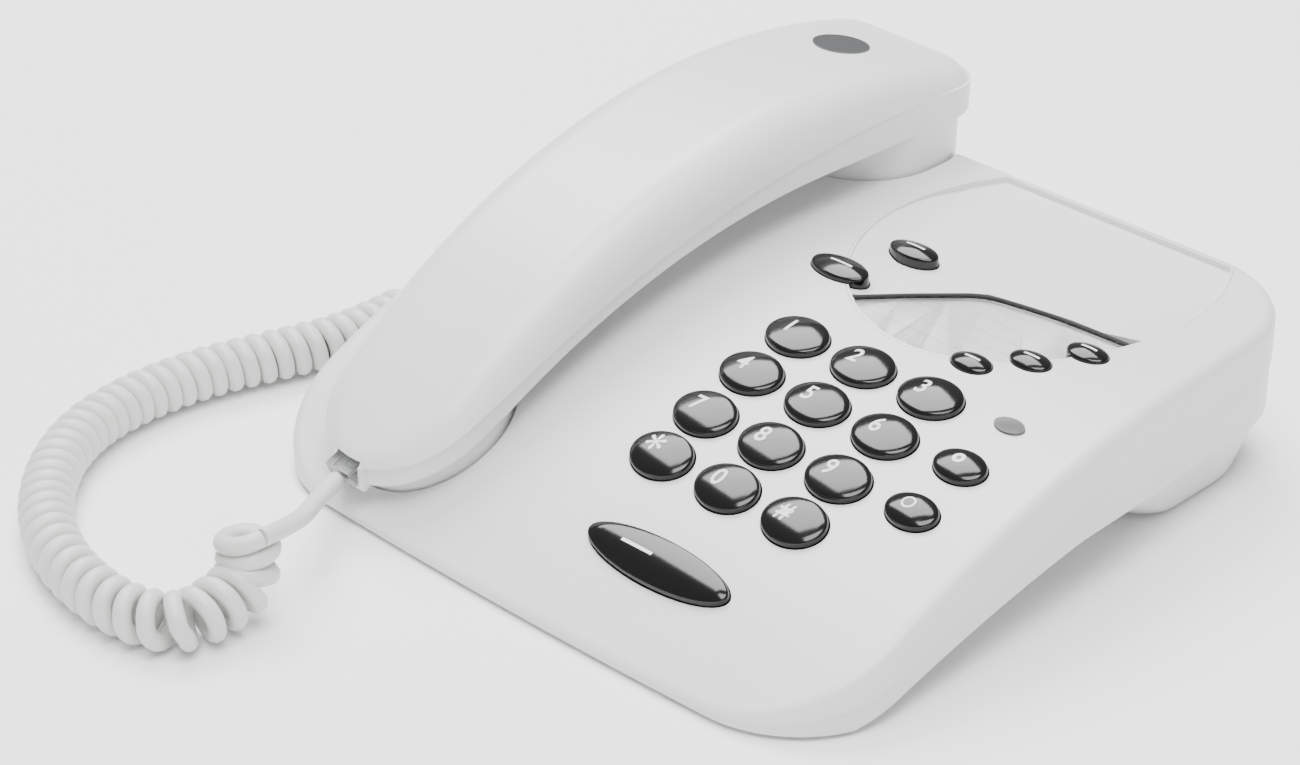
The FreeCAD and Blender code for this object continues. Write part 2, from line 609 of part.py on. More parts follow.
def dome_spots():
    """Where the rubber domes stand: x, y and whether they are on the level board."""
    spots = []
    for name, x, y, length, width, proud, flange in all_keys():
        for offset in stem_offsets(length):
            spots.append((x + offset, y, y > 0))
    return spots


def on_board(x, y):
    """The point of the main board, in its own frame, that lies under a key's normal."""
    tilt = top_tilt(y)
    normal = V(0, -math.sin(tilt), math.cos(tilt))
    surface = V(x, y, top_z(y))
    frame = board_frame()
    square = frame.Rotation.multVec(V(0, 0, 1))
    depth = (surface - frame.Base).dot(square) / normal.dot(square)
    return frame.inverse().multVec(surface - normal * depth)


def main_board():
    """The circuit board under the keypad."""
    length = BOARD_RIGHT - BOARD_LEFT
    wide = (BOARD_BACK - BOARD_FRONT) / math.cos(board_angle())
    board = Part.makeBox(length, wide, BOARD_THICK, V(0, 0, -BOARD_THICK))
    for along, up in BOARD_POSTS:
        board = board.cut(cylinder(SCREW, 10, V(along, up, -5)))
    return moved(board, board_frame())


def board_angle():
    """Tilt of the main board, in radians."""
    return math.atan2(top_z(BOARD_BACK) - top_z(BOARD_FRONT), BOARD_BACK - BOARD_FRONT)


def keypad_mat():
    """The rubber sheet on the main board, with one dome per key and holes for the posts."""
    left, right, margin = MAT
    wide = (BOARD_BACK - BOARD_FRONT) / math.cos(board_angle())
    sheet = Part.makeBox(right - left, wide - 2 * margin, MAT_THICK, V(left, margin, 0))
    for along, up in BOARD_POSTS:
        sheet = sheet.cut(cylinder(POST + 0.4, 4.0, V(along, up, -1.0)))
    for x, y, level in dome_spots():
        if not level:
            spot = on_board(x, y)
            sheet = sheet.fuse(Part.makeCone(DOME_RADII[0], DOME_RADII[1], DOME_SQUEEZED, V(spot.x, spot.y, MAT_THICK)))
    return moved(sheet.removeSplitter(), board_frame())


def function_board():
    """The level board under the index panel."""
    x0, x1, y0, y1 = FUNCTION_BOARD
    board = box(V(x0, y0, FUNCTION_BOARD_Z - BOARD_THICK), V(x1, y1, FUNCTION_BOARD_Z))
    for x, y in FUNCTION_POSTS:
        board = board.cut(cylinder(SCREW, 10, V(x, y, FUNCTION_BOARD_Z - 5)))
    return board


def function_pads():
    """Rubber domes on the level board."""
    pads = []
    for x, y, level in dome_spots():
        if level:
            foot = cylinder(5.0, MAT_THICK, V(x, y, FUNCTION_BOARD_Z))
            pads.append(foot.fuse(Part.makeCone(DOME_RADII[0], DOME_RADII[1], DOME_SQUEEZED, V(x, y, FUNCTION_BOARD_Z + MAT_THICK))))
    return pads


def screw(length, radius=SCREW, head=2.4, head_high=1.2):
    """A pan head screw: head below z = 0, shank above it."""
    top = cylinder(radius, length, V(0, 0, 0))
    cap = cylinder(head, head_high, V(0, 0, -head_high))
    slot = box(V(-head, -0.3, -head_high), V(head, 0.3, -head_high + 0.7))
    cross = box(V(-0.3, -head, -head_high), V(0.3, head, -head_high + 0.7))
    return top.fuse(cap).cut(slot).cut(cross).removeSplitter()


def board_screws():
    """The screws that hold both boards to the upper case."""
    screws = []
    for along, up in BOARD_POSTS:
        at = FreeCAD.Placement(V(along, up, -BOARD_THICK), FreeCAD.Rotation())
        screws.append(moved(screw(5.8), board_frame().multiply(at)))
    for x, y in FUNCTION_POSTS:
        at = FreeCAD.Placement(V(x, y, FUNCTION_BOARD_Z - BOARD_THICK), FreeCAD.Rotation())
        screws.append(moved(screw(5.8), at))
    return screws


def case_screws():
    """The four screws that hold the case halves together."""
    screws = []
    for x, y, joint in CASE_SCREWS:
        at = FreeCAD.Placement(V(x, y, joint - 3.0), FreeCAD.Rotation())
        screws.append(moved(screw(8.0, CASE_SHANK, 2.8, 1.8), at))
    return screws


def indicator_lens():
    """The oval light pipe beside the keypad."""
    x, y, length, width = LENS
    body = oval(length, width, 3.2, V(0, 0, -2.6))
    flat = oval(length + 1.6, width + 1.6, 0.8, V(0, 0, -3.4))
    return moved(body.fuse(flat).removeSplitter(), key_frame(x, y))


# ---- base: cradle switch, sockets, ringer and weight ------------------------------------------
def hook_plunger():
    """The plunger that the ear cup presses down: a rounded pin with a collar under the cradle."""
    x, y = HOOK
    pin = cylinder(PLUNGER, EAR_WELL_Z - 22.0, V(x, y, 22.0))
    pin = pin.makeFillet(1.2, [edge for edge in pin.Edges if edge.BoundBox.ZMin > EAR_WELL_Z - 0.1])
    collar = cylinder(PLUNGER + 2.0, 1.5, V(x, y, EAR_WELL_Z - WALL - HOOK_RISE - 0.3 - 1.5))
    tip = cylinder(PLUNGER / 2.0, 11.5, V(x, y, 10.5))
    return pin.fuse(collar).fuse(tip).removeSplitter()


def hook_switch_body():
    """The switch block under the plunger, on the floor of the rear body."""
    x, y = HOOK
    block = box(V(x - 8, y - 6, FOOT_PAD + FLOOR), V(x + 8, y + 6, HOOK_SWITCH_Z))
    return block.cut(cylinder(PLUNGER / 2.0 + 0.3, 6.0, V(x, y, HOOK_SWITCH_Z - 5.0)))


def hook_spring():
    """The return spring between the switch block and the plunger's shoulder."""
    x, y = HOOK
    low, high, wire, radius = HOOK_SWITCH_Z + 0.3, 21.7, 0.3, 3.0
    helix = Part.makeHelix((high - low) / 5.0, high - low, radius)
    profile = Part.Wire([Part.Circle(V(radius, 0, 0), V(0, 1, 0), wire).toShape()])
    coil = Part.Wire(helix.Edges).makePipeShell([profile], True, True)
    return moved(coil, FreeCAD.Placement(V(x, y, low), FreeCAD.Rotation()))


def handset_socket_base():
    """The small square socket on the left side for the handset cord."""
    y, z = BASE_JACK
    face = side_x(y) - 0.4
    block = box(V(-face, y - 5.0, z - 4.1), V(-72.0, y + 5.0, z + 4.1))
    return block.cut(box(V(-90, y - 3.95, z - 2.8), V(-74.0, y + 3.95, z + 2.8)))


def line_socket():
    """The wider socket on the rear wall for the telephone line."""
    x, z = LINE_JACK
    block = box(V(x - 6.5, 70.0, z - 6.0), V(x + 6.5, CASE_BACK - 0.6, z + 6.0))
    return block.cut(box(V(x - 4.9, 72.0, z - 3.5), V(x + 4.9, 90.0, z + 3.5)))


def ringer_slider():
    """The slide switch on the rear wall: a knob with a plate behind the wall."""
    x, z = SWITCH
    knob = box(V(x - 4.4, 81.0, z - 1.9), V(x - 4.4 + SWITCH_TRAVEL, 85.6, z + 1.9))
    plate = box(V(x - 6.4, 79.8, z - 2.6), V(x + 1.6, 81.0, z + 2.6))
    return knob.fuse(plate).removeSplitter()


def ringer_switch_body():
    """The fixed block that the slide switch runs in."""
    x, z = SWITCH
    return box(V(x - 10.0, 75.0, z - 4.0), V(x + 10.0, 79.5, z + 4.0))


def ringer():
    """The round sounder over the grille in the underside."""
    base = V(RINGER[0], RINGER[1], FOOT_PAD + FLOOR)
    magnet = cylinder(RINGER_RADIUS / 2.0, 4.0, base + V(0, 0, 4.0))
    return cylinder(RINGER_RADIUS, 4.0, base).fuse(magnet).removeSplitter()


def ballast():
    """A steel plate in the rear body that keeps the light base on the table."""
    x0, x1, y0, y1 = BALLAST
    return box(V(x0, y0, FOOT_PAD + FLOOR), V(x1, y1, FOOT_PAD + FLOOR + BALLAST_THICK))


def rubber_feet():
    """Four round pads."""
    return [cylinder(PAD_RADIUS, FOOT_PAD, V(x, y, 0)) for x, y in FOOT_PADS]


# ---- handset ----------------------------------------------------------------------------------
def handset_plan(inset, low=-5.0, high=90.0):
    """The outline of the handset seen from above: a round nose, then sides that open slightly."""
    radius = HANDSET_NOSE - inset
    spread = math.radians(HANDSET_FLARE)
    centre = V(HANDSET_X, HANDSET_FRONT + HANDSET_NOSE, low)
    back = HANDSET_BACK - inset
    run = (back - centre.y - radius * math.sin(-spread)) / math.cos(spread)
    right = centre + V(radius * math.cos(spread), -radius * math.sin(spread), 0)
    left = centre + V(-radius * math.cos(spread), -radius * math.sin(spread), 0)
    right_back = right + V(math.sin(spread), math.cos(spread), 0) * run
    left_back = left + V(-math.sin(spread), math.cos(spread), 0) * run
    right_back.y = left_back.y = back
    nose = V(HANDSET_X, centre.y - radius, low)
    edges = [arc(left, nose, right), line(right, right_back), line(right_back, left_back), line(left_back, left)]
    solid = prism(edges, V(0, 0, high - low))
    corners = vertical_edges(solid, lambda px, py: py > back - 1.0)
    return solid.makeFillet(HANDSET_REAR_CORNER - inset, corners)


def side_region(apex, radius, offset, straight_back, above):
    """Everything above or below an arc seen from the side, curved or straight behind its apex."""
    x = -FAR
    y_apex, z_apex = apex
    front, back, far = -120.0, 130.0, 150.0 if above else -30.0
    r = radius - offset
    corners = [V(x, front, far), V(x, front, arc_z(apex, radius, front, offset)), V(x, y_apex, z_apex - offset)]
    middle = (front + y_apex) / 2.0
    edges = [line(corners[0], corners[1])]
    edges.append(arc(corners[1], V(x, middle, arc_z(apex, radius, middle, offset)), corners[2]))
    if straight_back is None:
        middle = (back + y_apex) / 2.0
        end = V(x, back, arc_z(apex, radius, back, offset))
        edges.append(arc(corners[2], V(x, middle, arc_z(apex, radius, middle, offset)), end))
    else:
        end = V(x, back, straight_back - offset)
        edges.append(line(corners[2], end))
    edges += [line(end, V(x, back, far)), line(V(x, back, far), corners[0])]
    return prism(edges, V(2 * FAR, 0, 0))


def arc_z(apex, radius, y, offset=0.0):
    """Height at y of an arc with its apex at (y, z), or of one that lies offset inside it."""
    return apex[1] - radius + math.sqrt((radius - offset) ** 2 - (y - apex[0]) ** 2)


def handset_block(inset, shoulder):
    """The domed body of the handset, before it is parted into two shells."""
    block = handset_plan(inset).common(side_region(CROWN_APEX, CROWN_RADIUS, inset, None, False))
    block = block.common(box(V(-FAR, -FAR, 0), V(FAR, FAR, 120)))
    edges = []
    for edge in block.Edges:
        point = edge.valueAt((edge.FirstParameter + edge.LastParameter) / 2.0)
        if edge.BoundBox.ZMin > 2.0 and abs(point.z - arc_z(CROWN_APEX, CROWN_RADIUS, point.y, inset)) < 0.05:
            edges.append(edge)
    return block.makeFillet(shoulder, edges)


def above_crease():
    """Everything over the line where the outer shell ends."""
    return side_region(CREASE_APEX, CREASE_RADIUS, 0.0, None, True)


def below_crease():
    """Everything under the line where the outer shell ends."""
    return side_region(CREASE_APEX, CREASE_RADIUS, 0.0, None, False)


def above_rim(raise_by=0.0):
    """Everything over the lower edge of the side band, which follows the case at the nose."""
    grip = side_region(RIM_APEX, RIM_RADIUS, -raise_by, RIM_BACK_Z, True)
    return grip.common(region_above_top(-NOSE_CLEAR - raise_by))


def rim_z(y):
    """Height of the band's lower edge along the grip."""
    if y > RIM_APEX[0]:
        return RIM_APEX[1]
    return arc_z(RIM_APEX, RIM_RADIUS, y)


def side_band():
    """The handset's side band: its plan, set in more towards the nose."""
    levels = []
    for inset, z in zip(BAND_INSET, BAND_LEVELS):
        base = min(handset_plan(inset, z, z + 1.0).Faces, key=lambda face: face.BoundBox.ZMax)
        levels.append(base.OuterWire)
    return Part.makeLoft(levels, True, True)


def plug_frame():
    """Placement of the plug in the handset: local Y runs into the nose and up."""
    return FreeCAD.Placement(HANDSET_JACK, FreeCAD.Rotation(V(1, 0, 0), JACK_RISE))


def notch():
    """The square hole at the nose for the cord's plug."""
    return moved(box(V(-4.0, -4.0, -2.9), V(4.0, 18.6, 2.6)), plug_frame())


def jack_boss():
    """The thick part of the inner shell round the hole for the plug."""
    return moved(box(V(-5.2, 1.2, -4.0), V(5.2, 20.0, 3.7)), plug_frame()).common(handset_plan(0.6))


def handset_outer_shell():
    """The domed back of the handset, down to the crease along its sides."""
    inside = handset_block(HANDSET_WALL, SHOULDER - HANDSET_WALL)
    shell = handset_block(0.0, SHOULDER).common(above_crease()).cut(inside).cut(badge_disc(0.0))
    for x, y in HANDSET_SCREWS:
        foot = rim_z(y) + HANDSET_BOSS
        post = cylinder(3.2, 40.0, V(x, y, foot)).common(inside)
        shell = shell.fuse(post).cut(cylinder(SCREW, 6.0, V(x, y, foot - 1.0)))
    return in_cradle(shell.cut(notch()))


def badge_disc(proud):
    """The small blank disc on the back of the handset, let in almost flush with the crown."""
    x, y, radius = BADGE
    tilt = -math.asin((y - CROWN_APEX[0]) / CROWN_RADIUS)
    turn = FreeCAD.Rotation(V(1, 0, 0), math.degrees(tilt))
    high = BADGE_THICK + proud if proud else 3.0
    at = FreeCAD.Placement(V(x, y, arc_z(CROWN_APEX, CROWN_RADIUS, y)), turn)
    return moved(cylinder(radius, high, V(0, 0, -BADGE_THICK)), at)


def handset_inner_shell():
    """The side band and inner face of the handset, with the ear and mouth cups."""
    outer = side_band().common(above_rim())
    ear = Part.makeLoft([ear_outline(0.0, EAR_BOTTOM), ear_outline(0.4, BAND_LEVELS[1])], True, True)
    outer = outer.fuse(ear.common(handset_plan(0.3))).fuse(mouth_region(0.0, MOUTH_SINK)).common(below_crease())
    inside = handset_plan(BAND_INSET[0] + HANDSET_WALL).common(above_rim(HANDLE_PLATE))
    inside = inside.fuse(ear_prism(-HANDSET_WALL - 0.4, EAR_BOTTOM + HANDSET_WALL, 80.0))
    mouth = cylinder(MOUTH_RADIUS - HANDSET_WALL, 60, V(HANDSET_X, MOUTH_Y, 0))
    inside = inside.fuse(mouth.common(region_above_top(MOUTH_SINK - HANDSET_WALL)))
    for x, y in HANDSET_SCREWS:
        inside = inside.cut(cylinder(HANDSET_BOSS, 9.0, V(x, y, rim_z(y) + HANDSET_BOSS - 9.0)))
    shell = outer.cut(inside).fuse(jack_boss().common(below_crease()))
    for index in range(-2, 3):
        for row in range(-2, 3):
            if abs(index) + abs(row) < 4:
                at = V(HANDSET_X + 3.6 * index, RECEIVER_Y + 3.6 * row, EAR_BOTTOM - 1)
                shell = shell.cut(cylinder(0.8, 6.0, at))
    for x, y in HANDSET_SCREWS:
        shell = shell.cut(cylinder(1.4, 20.0, V(x, y, rim_z(y) - 8.0)))
        shell = shell.cut(cylinder(2.7, 10.0, V(x, y, rim_z(y) + 2.2 - 10.0)))
    return in_cradle(shell.cut(notch()))


def handset_screw_set():
    """The two screws that join the handset shells."""
    screws = []
    for x, y in HANDSET_SCREWS:
        at = FreeCAD.Placement(V(x, y, rim_z(y) + 2.2), FreeCAD.Rotation())
        screws.append(in_cradle(moved(screw(7.0), at)))
    return screws


def receiver():
    """The earpiece capsule."""
    base = V(HANDSET_X, RECEIVER_Y, EAR_BOTTOM + HANDSET_WALL)
    magnet = cylinder(11.0, 3.0, base + V(0, 0, 6.0))
    return in_cradle(cylinder(16.0, 6.0, base).fuse(magnet).removeSplitter())


def microphone():
    """The microphone capsule, on the floor of the mouth cup."""
    at = key_frame(HANDSET_X, MOUTH_Y + 4.0, HANDSET_WALL - MOUTH_SINK + 0.1)
    return in_cradle(moved(cylinder(4.8, 4.5, V(0, 0, 0)), at))


def handset_weight():
    """A steel bar inside the grip."""
    width, y0, y1, z0, z1 = WEIGHT
    return in_cradle(box(V(HANDSET_X - width / 2.0, y0, z0), V(HANDSET_X + width / 2.0, y1, z1)))


# ---- cord -------------------------------------------------------------------------------------
def cord_path(points, label):
    """Straight runs joined by tangent arcs; prints each arc's radius."""
    edges = []
    radii = []
    start = points[0]
    for before, here, after in zip(points, points[1:], points[2:]):
        back, ahead = before - here, after - here
        turn = math.pi - back.getAngle(ahead)
        reach = 0.45 * min(back.Length, ahead.Length)
        radii.append(reach / math.tan(turn / 2.0))
        a = here + back.normalize() * reach
        b = here + ahead.normalize() * reach
        bisector = (a + b) * 0.5 - here
        centre_far = radii[-1] / math.cos(turn / 2.0)
        middle = here + bisector.normalize() * (centre_far - radii[-1])
        edges.append(line(start, a))
        edges.append(arc(a, middle, b))
        start = b
    edges.append(line(start, points[-1]))
    print(label, "arc radii", [round(r, 1) for r in radii])
    return Part.Wire(edges)


def tube(points, diameter, label):
    """A round tube along a cord's route."""
    path = cord_path(points, label)
    ahead = points[1] - points[0]
    ring_edge = Part.Circle(points[0], ahead, diameter / 2.0).toShape()
    solid = path.makePipeShell([Part.Wire([ring_edge])], True, False)
    wanted = math.pi * diameter ** 2 / 4.0 * path.Length
    print(label, "length %.1f volume ratio %.4f" % (path.Length, solid.Volume / wanted))
    return solid


def plug():
    """A small clear modular plug: its cord end at the origin, its nose along Y."""
    body = box(V(-3.8, 0, -2.4), V(3.8, 17.0, 2.2))
    body = body.cut(box(V(-2.6, 13.0, 1.4), V(2.6, 17.0, 2.2)))
    latch = box(V(-1.4, 3.0, -2.7), V(1.4, 15.0, -2.4))
    return body.fuse(latch).removeSplitter()


def base_plug():
    """The plug in the side of the base."""
    return moved(plug(), FreeCAD.Placement(BASE_TAIL[0], FreeCAD.Rotation(V(0, 0, 1), -90.0)))


def handset_plug():
    """The plug in the nose of the handset."""
    return in_cradle(moved(plug(), plug_frame()))


# ---- build --------------------------------------------------------------------------------------
save("top_housing", top_housing())
save("bottom_housing", bottom_housing())
save("index_panel", index_panel())
save("index_card", pocket_layer(0.3, 0.0, CARD_THICK))
save("card_window", pocket_layer(0.15, CARD_THICK, WINDOW_THICK))
for key_name, *place in all_keys():
    save(key_name, key(*place))
save("indicator_lens", indicator_lens())
save("main_board", main_board())
save("keypad_mat", keypad_mat())
save("function_board", function_board())
save("function_pads", *function_pads())
save("board_screws", *board_screws())
save("case_screws", *case_screws())
save("hook_plunger", hook_plunger())
save("hook_switch", hook_switch_body())
save("hook_spring", hook_spring())
save("handset_socket", handset_socket_base())
save("line_socket", line_socket())
save("ringer_slider", ringer_slider())
save("ringer_switch_body", ringer_switch_body())
save("ringer", ringer())
save("ballast_plate", ballast())
save("rubber_feet", *rubber_feet())
save("handset_outer_shell", handset_outer_shell())
save("handset_inner_shell", handset_inner_shell())
save("handset_badge", in_cradle(badge_disc(0.2)))
save("handset_screws", *handset_screw_set())
save("receiver_capsule", receiver())
save("microphone_capsule", microphone())
save("handset_weight", handset_weight())
save("cord_base_tail", tube(BASE_TAIL, CORD, "base tail"))
save("cord_coil", tube(COIL_ROUTE, COIL, "coil"))
save("cord_handset_tail", tube(HANDSET_TAIL, CORD, "handset tail"))
save("base_plug", base_plug())
save("handset_plug", handset_plug())
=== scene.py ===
# %% [markdown]
# # A corded desk telephone
# The phone's case, boards and springs arrive finished from CAD. This lesson adds what CAD leaves plain:
# the curly cord, the domed keys with their printed figures, the disc on the handset, and a finish for
# every surface. Everything is in metres, in the CAD frame: +X right, +Y away from the user, +Z up.

# %% Load the frame
import json
import math
import bpy
from mathutils import Matrix, Vector


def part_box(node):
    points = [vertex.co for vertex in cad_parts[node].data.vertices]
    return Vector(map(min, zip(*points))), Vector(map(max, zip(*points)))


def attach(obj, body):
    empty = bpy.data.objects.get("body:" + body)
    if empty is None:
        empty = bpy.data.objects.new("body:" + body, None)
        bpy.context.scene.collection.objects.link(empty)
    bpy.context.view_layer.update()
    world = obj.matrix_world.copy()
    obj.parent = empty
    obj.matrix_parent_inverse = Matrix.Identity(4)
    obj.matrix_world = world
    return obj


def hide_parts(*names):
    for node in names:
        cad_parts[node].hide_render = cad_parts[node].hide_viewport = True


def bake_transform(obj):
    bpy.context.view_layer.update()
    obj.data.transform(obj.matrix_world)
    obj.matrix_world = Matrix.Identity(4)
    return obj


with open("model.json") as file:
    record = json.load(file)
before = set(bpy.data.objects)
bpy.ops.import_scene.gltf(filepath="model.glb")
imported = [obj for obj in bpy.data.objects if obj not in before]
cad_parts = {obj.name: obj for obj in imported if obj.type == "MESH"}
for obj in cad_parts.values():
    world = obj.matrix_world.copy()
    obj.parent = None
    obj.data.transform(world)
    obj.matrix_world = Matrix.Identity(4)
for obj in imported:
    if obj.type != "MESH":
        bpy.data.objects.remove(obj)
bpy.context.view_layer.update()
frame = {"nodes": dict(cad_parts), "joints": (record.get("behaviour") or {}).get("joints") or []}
NODES = frame["nodes"]
MM = 0.001
print("loaded", len(NODES), "nodes")

# %% [markdown]
# ## The camera
# A long lens from the front right and above keeps the sides of the case nearly parallel. The camera
# looks back along one line through a point near the middle of the keypad's left side.

# %% Camera
AZIMUTH = math.radians(44.3)
ELEVATION = math.radians(30.0)
AIM = Vector((-5.7, -42.1, 33.2)) * MM
DISTANCE = 784 * MM
LEVEL = math.cos(ELEVATION)
back = Vector((math.sin(AZIMUTH) * LEVEL, -math.cos(AZIMUTH) * LEVEL, math.sin(ELEVATION)))
lens = bpy.data.cameras.new("camera")
lens.sensor_width = 36.0
lens.lens = 98.4
camera = bpy.data.objects.new("camera", lens)
bpy.context.scene.collection.objects.link(camera)
camera.location = AIM + back * DISTANCE
camera.rotation_euler = back.to_track_quat("Z", "Y").to_euler()
bpy.context.scene.camera = camera
print("camera at", [round(c, 3) for c in camera.location])

# %% [markdown]
# ## Colours and nodes
# Colours are written as the hex values a painter would pick, and one function turns them to the linear
# values that shaders use. One more function adds any node, sets it and links it.

# %% Helpers for materials
def linear(hex_value):
    """An sRGB hex colour as linear red, green, blue and alpha."""
    parts = [int(hex_value[i:i + 2], 16) / 255.0 for i in (1, 3, 5)]
    return [c / 12.92 if c <= 0.04045 else ((c + 0.055) / 1.055) ** 2.4 for c in parts] + [1.0]


def add(material, kind, inputs, **settings):
    """Add a node to a material; an input is a value or a (node, output name) pair."""
    tree = material.node_tree
    made = tree.nodes.new(kind)
    for name, value in settings.items():
        setattr(made, name, value)
    for name, value in inputs.items():
        if isinstance(value, tuple) and hasattr(value[0], "outputs"):
            tree.links.new(value[0].outputs[value[1]], made.inputs[name])
        else:
            made.inputs[name].default_value = value
    return made


def new_material(name, **shader):
    """A material with a Principled shader whose uniform values are set on its own sockets."""
    material = bpy.data.materials.new(name)
    material.use_nodes = True
    surface = material.node_tree.nodes["Principled BSDF"]
    for key, value in shader.items():
        surface.inputs[key.replace("_", " ")].default_value = value
    return material, surface


def feed(material, surface, socket, made, output):
    """Link a node's output to one socket of the surface shader."""
    material.node_tree.links.new(made.outputs[output], surface.inputs[socket])


def two_tones(material, surface, source, output, low, high):
    """Colour a surface between two hex tones, as a node's output says."""
    tone = add(material, "ShaderNodeMix", {"Factor": (source, output)}, data_type="RGBA")
    tone.inputs[6].default_value = linear(low)
    tone.inputs[7].default_value = linear(high)
    feed(material, surface, "Base Color", tone, 2)


def relief(material, surface, source, output, strength, distance):
    """Turn a node's output into a bump on the surface."""
    inputs = {"Height": (source, output), "Strength": strength, "Distance": distance}
    feed(material, surface, "Normal", add(material, "ShaderNodeBump", inputs), "Normal")


def shine(material, surface, source, output, low, high):
    """Let a node's output move the roughness between two values."""
    inputs = {"Value": (source, output), "To Min": low, "To Max": high}
    feed(material, surface, "Roughness", add(material, "ShaderNodeMapRange", inputs), "Result")


def noise(material, vector, scale, detail):
    """Cloudy noise; scale is in clouds a metre."""
    inputs = {"Vector": vector, "Scale": scale, "Detail": detail}
    return add(material, "ShaderNodeTexNoise", inputs)

# %% [markdown]
# ## Moulded plastics
# Almost everything outside is ABS from a mould. The mould's surface decides the look: a fine spark-eroded
# grain gives the case its soft satin, and a polished mould gives the keys their mirror gloss. A grain of
# 0.1 mm can't be seen from half a metre, so it is drawn at 0.7 mm and kept very shallow.

# %% Moulded plastic
GRAIN = 0.7 * MM
GRAIN_DEPTH = 0.05 * MM
CLOUDS = 28.0               # clouds of tone in a metre


def moulded(name, light, dark, roughness, spread, depth, grain=GRAIN, **shader):
    """Moulded plastic: two close tones, a roughness that wanders, and a fine shallow grain."""
    material, surface = new_material(name, **shader)
    place = (add(material, "ShaderNodeTexCoord", {}), "Object")
    cloud = noise(material, place, CLOUDS, 3.0)
    two_tones(material, surface, cloud, "Fac", dark, light)
    shine(material, surface, cloud, "Fac", roughness - spread, roughness + spread)
    relief(material, surface, noise(material, place, 1.0 / grain, 2.0), "Fac", depth, GRAIN_DEPTH)
    return material


case_abs = moulded("abs_satin_pale_grey", "#DDDEDD", "#D6D7D6", 0.33, 0.04, 0.25)
handset_abs = moulded("abs_satin_handset_grey", "#DFE0DF", "#DADBDA", 0.30, 0.04, 0.2)
panel_abs = moulded("abs_smooth_index_panel", "#E1E2E1", "#DCDDDC", 0.27, 0.03, 0.12)
key_abs = moulded("abs_polished_black", "#060607", "#030304", 0.12, 0.03, 0.05)
dark_abs = moulded("abs_satin_black", "#1C1C1E", "#161617", 0.42, 0.05, 0.3)
ink = moulded("pad_print_white", "#F1F1EE", "#E4E4E1", 0.45, 0.05, 0.2)
cord_pvc = moulded("pvc_cord_pale_grey", "#D4D4D2", "#CBCBC9", 0.36, 0.05, 0.2, grain=1.2 * MM)
rubber = moulded("rubber_moulded_black", "#222223", "#191919", 0.75, 0.06, 0.6)
print("moulded plastics ready")

# %% [markdown]
# ## Clear and printed pieces
# The card's cover and the plugs are clear plastic, so their shader transmits light. The plugs and the
# frosted lens bend it as polycarbonate does. The cover is thin and lies right on its card, so its index
# is set well under acrylic's 1.49, or it would darken the card. The card is uncoated paper with faint
# ruled lines.

# %% Clear plastics and the card
POLYCARBONATE = 1.585
THIN_COVER = 1.12
FLOW_MARKS = 120.0          # flow marks in a metre
LINE_PITCH = 5.0 * MM
FIBRES = 1500.0             # paper fibres in a metre


def clear(name, tint, ior, roughness):
    """Clear moulded plastic with faint flow marks in its tint and roughness."""
    material, surface = new_material(name, IOR=ior, Transmission_Weight=1.0)
    place = (add(material, "ShaderNodeTexCoord", {}), "Object")
    flow = noise(material, place, FLOW_MARKS, 2.0)
    two_tones(material, surface, flow, "Fac", tint, "#FFFFFF")
    shine(material, surface, flow, "Fac", roughness * 0.7, roughness * 1.3)
    return material


def ruled_card():
    """White card with faint grey ruled lines and a paper fibre bump."""
    material, surface = new_material("card_uncoated_white", Roughness=0.8)
    place = (add(material, "ShaderNodeTexCoord", {}), "Object")
    wave = {"Vector": place, "Scale": math.pi / (10.0 * LINE_PITCH), "Distortion": 0.0}
    lines = add(material, "ShaderNodeTexWave", wave, bands_direction="Y")
    crest = {"Value": (lines, "Fac"), "From Min": 0.985, "From Max": 1.0}
    thin = add(material, "ShaderNodeMapRange", crest)
    two_tones(material, surface, thin, "Result", "#F8F8F6", "#D5D6D8")
    relief(material, surface, noise(material, place, FIBRES, 4.0), "Fac", 0.2, GRAIN_DEPTH)
    return material


window_acrylic = clear("acrylic_clear_window", "#FFFFFF", THIN_COVER, 0.02)
plug_clear = clear("polycarbonate_clear_plug", "#EEF1F1", POLYCARBONATE, 0.08)
lens_frosted = clear("polycarbonate_frosted_lens", "#B9BBBC", POLYCARBONATE, 0.45)
card_paper = ruled_card()
print("clear plastics and card ready")

# %% [markdown]
# ## Metals and the boards
# The disc on the handset is spun aluminium, so its marks are rings about its own centre. The springs,
# screws and weights are zinc-plated steel with long brushed marks, and the boards are green solder mask
# with the faint relief of a grid of copper, 2.4 mm from line to line.

# %% Metals and boards
BRUSH_MARKS = 2500.0        # marks in a metre, across the brush
BRUSH_STRETCH = 0.05        # along the brush they are this much fewer
RINGS = 260.0
COPPER_CELLS = 420.0        # cells of the copper grid in a metre


def steel_plated():
    """Zinc-plated steel: metallic, with marks drawn out along X."""
    material, surface = new_material("steel_zinc_plated", Metallic=1.0, Base_Color=linear("#B7B9BB"))
    place = (add(material, "ShaderNodeTexCoord", {}), "Object")
    along = {"Vector": place, "Scale": (BRUSH_STRETCH, 1.0, 1.0)}
    stretch = add(material, "ShaderNodeMapping", along)
    marks = noise(material, (stretch, "Vector"), BRUSH_MARKS, 2.0)
    shine(material, surface, marks, "Fac", 0.25, 0.45)
    return material


